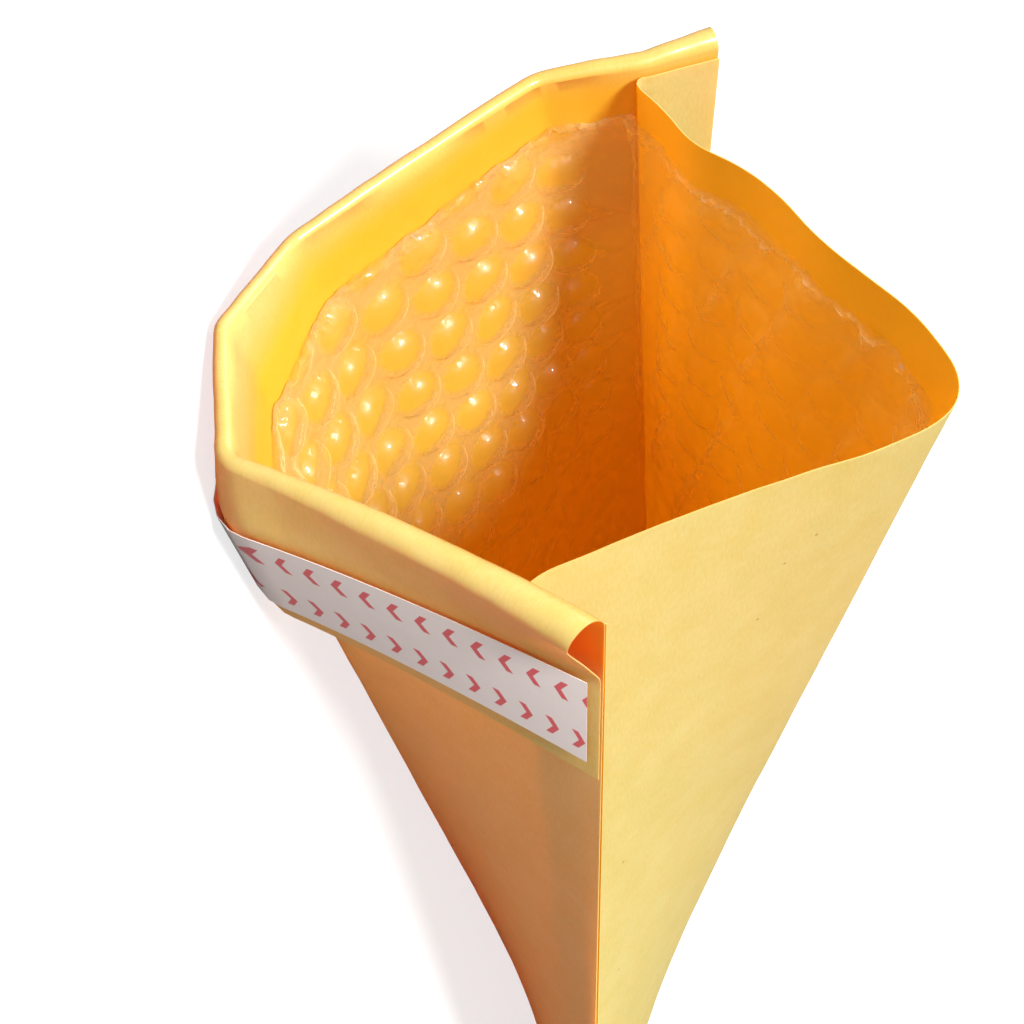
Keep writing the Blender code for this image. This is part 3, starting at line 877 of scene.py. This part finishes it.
def pale_floor():
    """White floor that keeps the shadow and reads white to the camera where it is lit."""
    paint = Paint('pale_floor')
    seen = paint.node('LightPath', {}, out='Is Camera Ray')
    body = paint.node('BsdfDiffuse', {}, Color=(0.2, 0.2, 0.2))
    thin = paint.node('BsdfDiffuse', {}, Color=(0.3, 0.3, 0.3))
    lift = paint.node('Emission', {}, Color=(1.0, 1.0, 1.0), Strength=0.74)
    pale = paint.node('AddShader', {}, thin, lift)
    return paint.finish(paint.node('MixShader', {}, seen, body, pale))


# ---------------------------------------------------------------- studio

def make_floor():
    size = 30.0
    mesh = bpy.data.meshes.new('floor')
    mesh.from_pydata([(-size, -size, 0), (size, -size, 0), (size, size, 0), (-size, size, 0)],
                     [], [(0, 1, 2, 3)])
    mesh.materials.append(pale_floor())
    floor = bpy.data.objects.new('floor', mesh)
    floor.location.z = -0.0003
    bpy.context.scene.collection.objects.link(floor)


def aim(item, towards):
    """Turns a lamp so that its light comes from the given direction."""
    item.rotation_euler = mathutils.Vector(towards).to_track_quat('Z', 'Y').to_euler()


def make_sun(name, towards, strength, spread, colour=(1.0, 1.0, 1.0)):
    light = bpy.data.lights.new(name, 'SUN')
    light.energy = strength
    light.angle = math.radians(spread)
    light.color = colour
    lamp = bpy.data.objects.new(name, light)
    bpy.context.scene.collection.objects.link(lamp)
    aim(lamp, towards)


def make_camera():
    right = (-0.11269, 0.24931, 0.96185)
    down = (0.83929, 0.54204, -0.04216)
    forward = (-0.53187, 0.80251, -0.27032)
    data = bpy.data.cameras.new('camera')
    data.sensor_width = 36.0
    data.lens = 89.95
    data.clip_start, data.clip_end = 0.01, 100.0
    camera = bpy.data.objects.new('camera', data)
    axes = mathutils.Matrix((right, [-d for d in down], [-f for f in forward])).transposed()
    camera.matrix_world = (mathutils.Matrix.Translation((0.19316, -0.35427, 0.12221))
                           @ axes.to_4x4())
    bpy.context.scene.collection.objects.link(camera)
    bpy.context.scene.camera = camera


def make_studio():
    make_floor()
    make_sun('key', (0.307, -0.504, 0.807), 5.5, 15.0)
    make_sun('back', (-0.650, -0.331, 0.680), 1.5, 30.0)
    make_sun('fill', (0.80, -0.50, 0.35), 0.5, 40.0, (1.0, 0.96, 0.92))
    world = bpy.data.worlds.new('studio')
    bpy.context.scene.world = world
    world.use_nodes = True
    back = world.node_tree.nodes['Background']
    back.inputs['Color'].default_value = (1.0, 1.0, 1.0, 1.0)
    back.inputs['Strength'].default_value = 0.22
    make_camera()
    bpy.context.scene.view_settings.view_transform = 'Standard'


def dress():
    paper = make_envelope(kraft_paper())
    film = make_film(clear_film())
    glue = flap_band('adhesive_band', ADHESIVE_RISE, ADHESIVE_RISE + ADHESIVE_WIDTH,
                     STRIP_END + LINER_MARGIN, ADHESIVE_OFF - ADHESIVE / 2, ADHESIVE,
                     hot_melt())
    liner = flap_band('liner_paper', ADHESIVE_RISE - LINER_MARGIN,
                      ADHESIVE_RISE + ADHESIVE_WIDTH + LINER_MARGIN, STRIP_END,
                      LINER_OFF, LINER, release_paper())
    for piece, node in ((paper, 'kraft_envelope'), (film, 'bubble_lining'),
                        (glue, 'adhesive_strip'), (liner, 'release_liner')):
        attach(piece, 'root')
        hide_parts(node)


dress()
make_studio()
